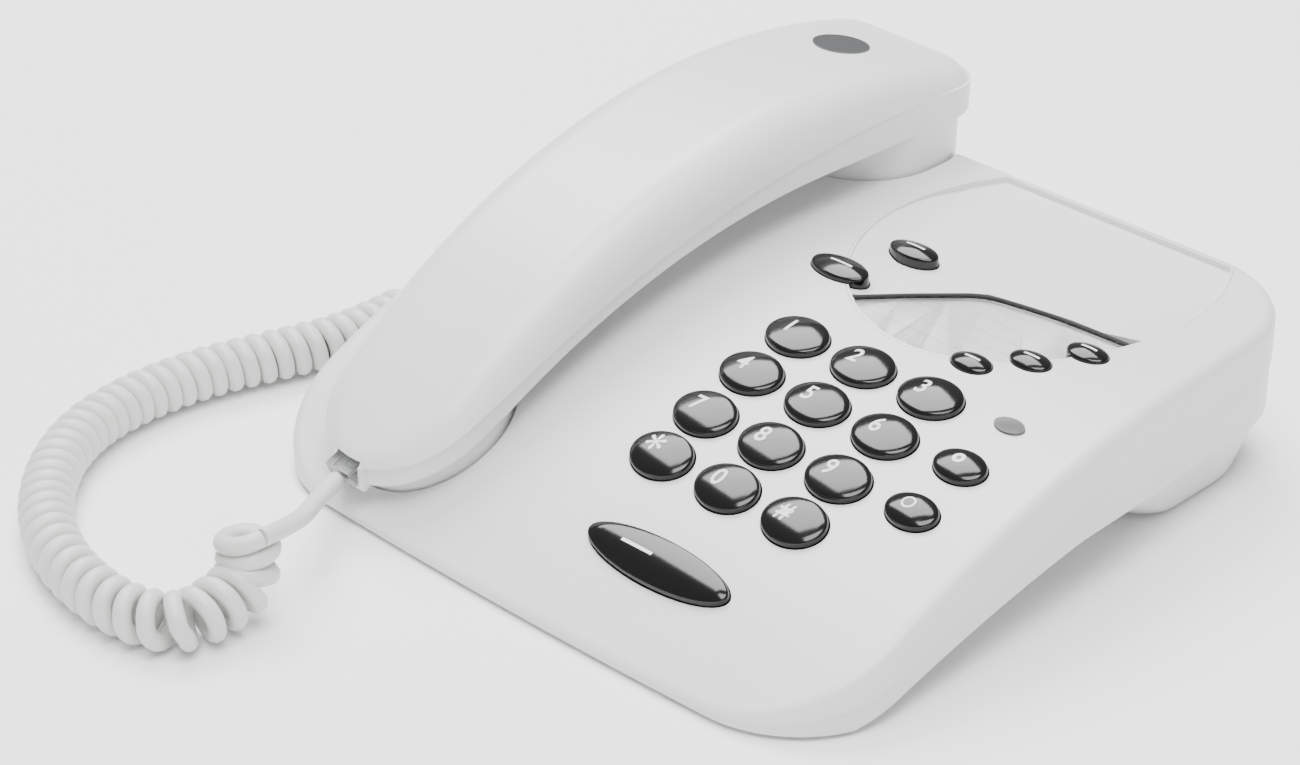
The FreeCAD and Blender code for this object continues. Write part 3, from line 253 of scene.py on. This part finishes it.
def spun_aluminium(centre, name, tone):
    """Aluminium with fine rings about an upright axis through centre."""
    material, surface = new_material(name, Metallic=1.0, Base_Color=linear(tone))
    place = (add(material, "ShaderNodeTexCoord", {}), "Object")
    shift = (-centre[0], -centre[1], -centre[2])
    move = add(material, "ShaderNodeMapping", {"Vector": place, "Location": shift})
    wave = {"Vector": (move, "Vector"), "Scale": RINGS, "Distortion": 0.4, "Detail": 1.0}
    rings = add(material, "ShaderNodeTexWave", wave, wave_type="RINGS", rings_direction="Z")
    shine(material, surface, rings, "Fac", 0.28, 0.4)
    relief(material, surface, rings, "Fac", 0.15, 0.02 * MM)
    return material


def solder_mask():
    """Green board lacquer over a grid of copper."""
    material, surface = new_material("board_green_solder_mask", Roughness=0.35)
    place = (add(material, "ShaderNodeTexCoord", {}), "Object")
    grid = {"Vector": place, "Scale": COPPER_CELLS, "Randomness": 0.0}
    cells = add(material, "ShaderNodeTexVoronoi", grid, distance="MANHATTAN")
    step = {"Value": (cells, "Distance"), "From Min": 0.3, "From Max": 0.34}
    edge = add(material, "ShaderNodeMapRange", step)
    two_tones(material, surface, edge, "Result", "#1F5A34", "#174828")
    relief(material, surface, edge, "Result", 0.3, 0.03 * MM)
    return material


def middle_of(node):
    """The centre of a CAD node's box."""
    low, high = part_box(node)
    return (Vector(low) + Vector(high)) / 2.0


steel = steel_plated()
badge_metal = spun_aluminium(middle_of("handset_badge"), "aluminium_spun", "#77797C")
capsule_metal = spun_aluminium(middle_of("receiver_capsule"), "aluminium_pressed_capsule", "#BFC0C2")
board_green = solder_mask()
print("metals and boards ready")

# %% [markdown]
# ## A finish for every CAD piece
# Each CAD node is matched to its finish by name. The keys are polished black, and whatever else has no
# entry is case plastic.

# %% Give the CAD nodes their finishes
FINISHES = {
    "index_panel": panel_abs, "index_card": card_paper, "card_window": window_acrylic,
    "indicator_lens": lens_frosted, "main_board": board_green, "function_board": board_green,
    "keypad_mat": rubber, "function_pads": rubber, "rubber_feet": rubber, "ballast_plate": steel,
    "handset_weight": steel, "hook_spring": steel, "board_screws": steel, "case_screws": steel,
    "handset_screws": steel, "hook_plunger": dark_abs, "hook_switch": dark_abs, "ringer_slider": dark_abs,
    "ringer_switch_body": dark_abs, "line_socket": dark_abs, "handset_socket": dark_abs,
    "ringer": capsule_metal, "receiver_capsule": capsule_metal, "microphone_capsule": capsule_metal,
    "handset_badge": badge_metal, "handset_plug": plug_clear, "base_plug": plug_clear,
    "handset_outer_shell": handset_abs, "handset_inner_shell": handset_abs,
}
for name, node in NODES.items():
    finish = FINISHES.get(name, key_abs if "key" in name and name != "keypad_mat" else case_abs)
    node.data.materials.clear()
    node.data.materials.append(finish)
print("finished", len(NODES), "CAD nodes")

# %% [markdown]
# ## The edge of the index panel
# The panel stops at a wavy edge, and the card slides in under it. The gap there holds a line of shadow,
# and a thin black tube along that edge paints that shade in, so the gap reads as one dark line. It could
# be a bare gap, but light leaks into it from above.

# %% Black tube of painted shade along the panel's edge
SLOT_SHADE_LINE = [(5.0, 12.5), (12.6, 20.6), (20.9, 28.4), (26.7, 33.8), (36.8, 35.7), (48.2, 37.4), (66.5, 38.0)]
SLOT_SHADE_RADIUS = 0.62
SLOT_SHADE_PROUD = 0.1            # its centre lies this far over the panel, in mm
PANEL_FRONT = (3.5, 37.0)   # y and z of the panel's front edge, in mm
PANEL_RISE = 1.6 / 78.5     # and its slope from there


def panel_height(y):
    """Height of the panel in mm, which rises a little towards the back."""
    return PANEL_FRONT[1] + PANEL_RISE * (y - PANEL_FRONT[0])


def spline_through(name, points, radius):
    """A NURBS curve of order 3 with the given control points, in metres."""
    curve = bpy.data.curves.new(name, "CURVE")
    curve.dimensions = "3D"
    spline = curve.splines.new("NURBS")
    spline.points.add(len(points) - 1)
    for point, co in zip(spline.points, points):
        point.co = (*co, 1.0)
    spline.order_u = 3
    spline.use_endpoint_u = True
    curve.resolution_u = 6 if radius == 0.0 else 3
    curve.bevel_depth = radius
    curve.bevel_resolution = 3
    curve.use_fill_caps = True
    piece = bpy.data.objects.new(name, curve)
    bpy.context.scene.collection.objects.link(piece)
    return piece


def mesh_of(curve):
    """The mesh that Blender makes of a curve object, which is then removed."""
    bpy.context.view_layer.update()
    mesh = bpy.data.meshes.new_from_object(curve.evaluated_get(bpy.context.evaluated_depsgraph_get()))
    bpy.data.objects.remove(curve)
    return mesh


def tube_mesh(name, points, radius, material):
    """A closed tube along a NURBS spline, as a mesh."""
    curve = spline_through(name + "_curve", points, radius)
    curve.data.resolution_u = 12
    curve.data.bevel_resolution = 6
    mesh = mesh_of(curve)
    piece = bpy.data.objects.new(name, mesh)
    bpy.context.scene.collection.objects.link(piece)
    mesh.materials.clear()
    mesh.materials.append(material)
    for face in mesh.polygons:
        face.use_smooth = True
    return piece


# Painted shade: this black tube stands for the shadow in the gap under the panel's edge, not a real part.
slot_shade_points = [Vector((x, y, panel_height(y) + SLOT_SHADE_PROUD)) * MM for x, y in SLOT_SHADE_LINE]
slot_shade_tube = tube_mesh("panel_edge_shade_tube", slot_shade_points, SLOT_SHADE_RADIUS * MM, rubber)
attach(slot_shade_tube, "base")
print("seal of", len(slot_shade_tube.data.polygons), "faces")

# %% [markdown]
# ## The keys
# A real key is one oval moulding with a domed crown and a rounded rim. It could be a squashed sphere, but
# then its side would slope all the way down. Here an oval disc is extruded ring by ring: straight up the
# side, round the rim, then over the crown to a single point. The place, tilt and size of each key are
# read from its CAD node: the key's joint says which way it travels, and so which way it faces.

# %% Where a key is
TRAVEL = {joint["child"]: Vector(joint["axis"]) for joint in frame["joints"]}
FLANGE_WIDER = 1.0 * MM     # under the case, a key's flange is this much longer at each end


def key_place(name):
    """A key's matrix, with Z out of the case from its crown, then its half length and half width."""
    out = -TRAVEL[name].normalized()
    across = Vector((1.0, 0.0, 0.0))
    along = out.cross(across).normalized()
    points = [vertex.co for vertex in NODES[name].data.vertices]
    spans = []
    for axis in (across, along, out):
        values = [point.dot(axis) for point in points]
        spans.append((min(values), max(values)))
    origin = across * sum(spans[0]) / 2.0 + along * sum(spans[1]) / 2.0 + out * spans[2][1]
    matrix = Matrix((across, along, out)).transposed().to_4x4()
    matrix.translation = origin
    half_length = (spans[0][1] - spans[0][0]) / 2.0 - FLANGE_WIDER
    half_width = (spans[1][1] - spans[1][0]) / 2.0
    return matrix, half_length, half_width

# %% Model one key
SKIRT = 5.0 * MM            # how far the key's side goes down from its crown
RIM_ROUND = 0.75 * MM       # the rounding between side and crown
RIM_DROP = 0.75 * MM        # the rim lies this far below the crown
RIM_TURN = math.radians(68)
CROWN_CURVE = 2.2           # 2 is a parabola, and more is flatter in the middle
RIM_STEPS = 5
CROWN_STEPS = 7
SIDES = 64
SHARP = math.radians(50)    # edges sharper than this stay sharp


def key_profile():
    """Rings of a key from its skirt to its crown, as (inset, scale left, height)."""
    rings = []
    base = -RIM_DROP - RIM_ROUND * math.sin(RIM_TURN)
    for step in range(RIM_STEPS + 1):
        turn = RIM_TURN * step / RIM_STEPS
        rings.append((RIM_ROUND * (1 - math.cos(turn)), 1.0, base + RIM_ROUND * math.sin(turn)))
    inset = rings[-1][0]
    for step in range(1, CROWN_STEPS):
        left = 1.0 - step / CROWN_STEPS
        rings.append((inset, left, -RIM_DROP * left ** CROWN_CURVE))
    return rings


def deselect():
    """Nothing selected and no active edit."""
    if bpy.context.mode != "OBJECT":
        bpy.ops.object.mode_set(mode="OBJECT")
    bpy.ops.object.select_all(action="DESELECT")


def settle(piece, matrix=None):
    """Put a piece where a matrix says and apply its place, so that its object sits at the origin."""
    deselect()
    piece.select_set(True)
    bpy.context.view_layer.objects.active = piece
    if matrix is not None:
        piece.matrix_world = matrix @ piece.matrix_world
    bpy.ops.object.transform_apply(location=True, rotation=True, scale=True)
    return piece


def model_key(name):
    """One key, extruded ring by ring, in place of its CAD node."""
    matrix, half_length, half_width = key_place(name)
    deselect()
    bpy.ops.mesh.primitive_circle_add(vertices=SIDES, radius=1.0, fill_type="NGON", location=(0, 0, -SKIRT))
    piece = bpy.context.object
    piece.name = "cap_" + name
    piece.scale = (half_length, half_width, 1.0)
    settle(piece)
    bpy.ops.object.mode_set(mode="EDIT")
    bpy.ops.mesh.select_all(action="SELECT")
    size, height = (half_length, half_width), -SKIRT
    for inset, left, z in key_profile():
        bpy.ops.mesh.extrude_region_move(TRANSFORM_OT_translate={"value": (0, 0, z - height)})
        new = ((half_length - inset) * left, (half_width - inset) * left)
        bpy.ops.transform.resize(value=(new[0] / size[0], new[1] / size[1], 1.0))
        size, height = new, z
    bpy.ops.mesh.extrude_region_move(TRANSFORM_OT_translate={"value": (0, 0, -height)})
    bpy.ops.mesh.merge(type="CENTER")
    bpy.ops.mesh.select_all(action="SELECT")
    bpy.ops.mesh.normals_make_consistent(inside=False)
    bpy.ops.object.mode_set(mode="OBJECT")
    bpy.ops.object.shade_smooth_by_angle(angle=SHARP)
    piece.data.materials.append(key_abs)
    settle(piece, matrix)
    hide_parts(name)
    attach(piece, name)
    return piece, matrix, half_length


key_names = sorted(name for name in TRAVEL if name in NODES and "key" in name)
KEYS = {name: model_key(name) for name in key_names}
print("modelled", len(KEYS), "keys")

# %% [markdown]
# ## What is printed on the keys
# The dial keys carry their figures, printed in white at the left of each crown. The other keys carry a
# plain bar or a ring. A flat shape is held over the key, dropped straight down onto its crown with a
# shrinkwrap modifier, and given the thickness of a coat of ink. A flat shape pushed into the crown would
# show only in its middle.

# %% Print on the keys
INK_LIFT = 0.03 * MM        # between the crown and the coat of ink, so that they don't flicker
INK_THICK = 0.04 * MM
HELD_OVER = 2.0 * MM
FIGURE = 6.4 * MM           # the height of the type
BOLDER = 0.10 * MM


def print_on(piece, name, x, y):
    """Drop a flat mesh, drawn round its own origin, onto a key at x, y from the middle of its crown."""
    cap, matrix, half_length = KEYS[name]
    deselect()
    piece.select_set(True)
    bpy.context.view_layer.objects.active = piece
    piece.matrix_world = matrix @ Matrix.Translation((x, y, HELD_OVER))
    wrap = piece.modifiers.new("wrap", "SHRINKWRAP")
    wrap.target = cap
    wrap.wrap_method = "PROJECT"
    wrap.use_project_z = True
    wrap.use_negative_direction = True
    wrap.use_positive_direction = False
    wrap.offset = INK_LIFT
    bpy.ops.object.modifier_apply(modifier="wrap")
    settle(piece)
    coat = piece.modifiers.new("coat", "SOLIDIFY")
    coat.thickness = INK_THICK
    coat.offset = 1.0
    bpy.ops.object.modifier_apply(modifier="coat")
    piece.data.materials.clear()
    piece.data.materials.append(ink)
    piece.name = "print_" + name
    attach(piece, name)
    return piece


def figure(text, size):
    """A figure as a flat mesh with its middle at the origin."""
    deselect()
    bpy.ops.object.text_add()
    letter = bpy.context.object
    letter.data.body = text
    letter.data.size = size
    letter.data.offset = BOLDER
    letter.data.align_x = "CENTER"
    letter.data.align_y = "CENTER"
    bpy.ops.object.convert(target="MESH")
    bpy.ops.object.mode_set(mode="EDIT")
    bpy.ops.mesh.select_all(action="SELECT")
    bpy.ops.mesh.remove_doubles(threshold=0.001 * MM)
    bpy.ops.mesh.subdivide(number_cuts=3)
    bpy.ops.object.mode_set(mode="OBJECT")
    return bpy.context.object


def bar(length, width):
    """A flat bar, cut across often enough to follow a curved crown."""
    deselect()
    bpy.ops.mesh.primitive_grid_add(x_subdivisions=12, y_subdivisions=3, size=1.0)
    piece = bpy.context.object
    piece.scale = (length, width, 1.0)
    return settle(piece)


def hoop(radius, width):
    """A flat ring."""
    deselect()
    bpy.ops.mesh.primitive_circle_add(vertices=40, radius=radius, fill_type="NGON")
    piece = bpy.context.object
    bpy.ops.object.mode_set(mode="EDIT")
    bpy.ops.mesh.select_all(action="SELECT")
    bpy.ops.mesh.inset(thickness=width)
    bpy.ops.mesh.delete(type="ONLY_FACE")
    bpy.ops.object.mode_set(mode="OBJECT")
    return piece


FIGURES = {"key_star": "*", "key_hash": "#", **{"key_%d" % n: str(n) for n in range(10)}}
FIGURE_LEFT = -2.6 * MM     # from the middle of the crown
STAR_BIGGER = 1.7           # a star sits small and high in its type
for name, text in FIGURES.items():
    star = text == "*"
    shape = figure(text, FIGURE * STAR_BIGGER if star else FIGURE)
    print_on(shape, name, FIGURE_LEFT, -0.6 * MM if star else 0.6 * MM)

BARRED = ("store_key", "memory_key", "quick_key_1", "quick_key_2", "quick_key_3")
BAR_SHARE = 0.8             # of half the key's length
print_on(bar(9 * MM, 0.8 * MM), "redial_key", -6.0 * MM, 0.6 * MM)
print_on(hoop(1.7 * MM, 0.5 * MM), "recall_key", -1.2 * MM, 0.8 * MM)
print_on(hoop(1.5 * MM, 0.9 * MM), "function_key", -0.8 * MM, 0.8 * MM)
for name in BARRED:
    print_on(bar(KEYS[name][2] * BAR_SHARE, 0.6 * MM), name, 0.0, 0.5 * MM)
print("printed", len(FIGURES), "figures and", len(BARRED) + 3, "signs")

# %% [markdown]
# ## The curly cord
# The cord leaves the left side of the base straight, comes down to the table, lies there in a wide bend
# of close turns, and stands up near the handset before it runs straight into its nose. The curl is a
# helix about a route. The route is a smooth spline with given control points, its line is read
# back from Blender, and a loop turns round it. The turns are a little further apart where the cord has
# been pulled, and a little wider where it stands up.

# %% Routes
BASE_TAIL = [(-92.0, 16.0, 20.0), (-102.5, 16.0, 19.8), (-110.0, 8.5, 18.3), (-110.5, -3.0, 14.0),
             (-107.8, -14.0, 9.6), (-104.6, -25.0, 7.2)]
COIL_ROUTE = [(-104.6, -25.0, 7.2), (-104.0, -42.0, 6.9), (-110.0, -60.0, 6.7), (-116.5, -78.0, 6.7),
              (-119.0, -98.0, 6.7), (-116.0, -117.0, 6.7), (-105.0, -134.5, 6.7), (-87.5, -148.5, 6.7),
              (-69.0, -155.5, 6.7), (-50.5, -157.0, 6.8), (-37.5, -152.5, 6.9), (-36.0, -143.0, 7.3),
              (-37.5, -130.6, 9.0), (-39.0, -131.2, 20.0)]
HANDSET_TAIL = [(-34.6, -131.2, 20.0), (-35.4, -119.0, 18.6), (-44.5, -107.0, 14.6), (-50.6, -95.8, 12.2)]
CORD = 4.2 * MM


def in_metres(points):
    """Points given in mm, as vectors in metres."""
    return [Vector(point) * MM for point in points]


def line_of(points):
    """The smooth line that a NURBS spline makes of its control points."""
    mesh = mesh_of(spline_through("route", points, 0.0))
    line = [vertex.co.copy() for vertex in mesh.vertices]
    bpy.data.meshes.remove(mesh)
    return line


def length_of(line):
    """How long a line of points is."""
    return sum((b - a).length for a, b in zip(line, line[1:]))


coil_line = line_of(in_metres(COIL_ROUTE))
print("coil route", round(length_of(coil_line) / MM, 1), "mm")

# %% Wind the curl
STEPS = 14                  # points in one turn
EASE = 0.02                 # the first turn opens over this share of the route
TIGHT = 0.25                # and starts at this share of its radius
# Each table pairs a share of the way along the route with a value in mm.
PITCHES = ((0.0, 4.4), (0.35, 4.3), (0.6, 4.6), (0.72, 5.4), (0.86, 5.2), (1.0, 4.5))
RADII = ((0.0, 4.4), (0.8, 4.4), (0.93, 5.3), (1.0, 5.3))


def between(table, at):
    """A value read from a table of pairs by straight lines."""
    for (x0, y0), (x1, y1) in zip(table, table[1:]):
        if at <= x1:
            return y0 + (y1 - y0) * (at - x0) / (x1 - x0)
    return table[-1][1]


def wind(line, turn=0.0):
    """The points of a helix about a line, with its turns as close as the pitches say."""
    lengths = [0.0]
    for a, b in zip(line, line[1:]):
        lengths.append(lengths[-1] + (b - a).length)
    total = lengths[-1]
    points = []
    at = 0.0
    segment = 0
    side = None
    while at < total:
        while lengths[segment + 1] < at:
            segment += 1
        a, b = line[segment], line[segment + 1]
        ahead = (b - a).normalized()
        centre = a + (b - a) * ((at - lengths[segment]) / (lengths[segment + 1] - lengths[segment]))
        if side is None:
            side = ahead.cross(Vector((0, 0, 1))).normalized()
        side = (side - ahead * side.dot(ahead)).normalized()
        other = ahead.cross(side)
        share = at / total
        radius = between(RADII, share) * MM * min(1.0, TIGHT + share / EASE)
        points.append(centre + side * math.cos(turn) * radius + other * math.sin(turn) * radius)
        turn += 2.0 * math.pi / STEPS
        at += between(PITCHES, share) * MM / STEPS
    return points


# A first try shows where the last turn ends; the real curl is turned back so that it ends towards +X.
trial = wind(coil_line)[-1] - coil_line[-1]
curl = wind(coil_line, -math.atan2(trial.y, trial.x))
cord_points = in_metres(BASE_TAIL[:-1]) + curl
curly_cord = spline_through("curly_cord", cord_points, CORD / 2.0)
curly_cord.data.resolution_u = 2
curly_cord.data.materials.append(cord_pvc)
curly_length = length_of(line_of(cord_points))
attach(curly_cord, "base")
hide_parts("cord_base_tail", "cord_coil")
print("curl of", len(curl) // STEPS, "turns, cord", round(curly_length, 3), "m")

# %% [markdown]
# ## The straight end
# The last stretch goes from the curl into the handset. It is made as a mesh tube of its own rather than
# more of the same curve; the real cord has to stretch there when the handset lifts.

# %% The straight end
tail_points = [curl[-1]] + in_metres(HANDSET_TAIL[1:])
tail_line = line_of(tail_points)
handset_cord = tube_mesh("handset_cord_end", tail_points, CORD / 2.0, cord_pvc)
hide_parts("cord_handset_tail")
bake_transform(handset_cord)

# %% [markdown]
# ## The room
# A plain pale floor and three soft lamps: one from the upper left behind, which rounds the handset and
# gives each key its bright patch, a wide one overhead, and a weak one from the front right.

# %% Floor and lamps
FLOOR_SIZE = 12.0
SKY = 0.5                   # strength of the white light from all round


def paper_floor():
    """Matt white paper, a little uneven."""
    material, surface = new_material("paper_white_floor", Roughness=0.9)
    place = (add(material, "ShaderNodeTexCoord", {}), "Object")
    two_tones(material, surface, noise(material, place, 2.0, 2.0), "Fac", "#FBFBFB", "#FDFDFD")
    return material


def lamp(name, place, size, power):
    """A square area lamp that points at the phone; size in metres, power in watts."""
    light = bpy.data.lights.new(name, "AREA")
    light.energy = power
    light.size = size
    piece = bpy.data.objects.new(name, light)
    piece.location = place
    piece.rotation_euler = (Vector(place) - AIM).to_track_quat("Z", "Y").to_euler()
    bpy.context.scene.collection.objects.link(piece)


deselect()
bpy.ops.mesh.primitive_plane_add(size=FLOOR_SIZE)
floor = bpy.context.object
floor.name = "floor"
floor.data.materials.append(paper_floor())
lamp("lamp_left", (-0.7, 0.35, 1.25), 0.9, 34.0)
lamp("lamp_top", (0.35, -0.35, 1.7), 1.2, 52.0)
lamp("lamp_front", (1.1, -0.7, 0.5), 0.8, 3.0)
world = bpy.data.worlds.new("studio")
bpy.context.scene.world = world
world.use_nodes = True
world.node_tree.nodes["Background"].inputs["Color"].default_value = linear("#FFFFFF")
world.node_tree.nodes["Background"].inputs["Strength"].default_value = SKY
print("room ready")
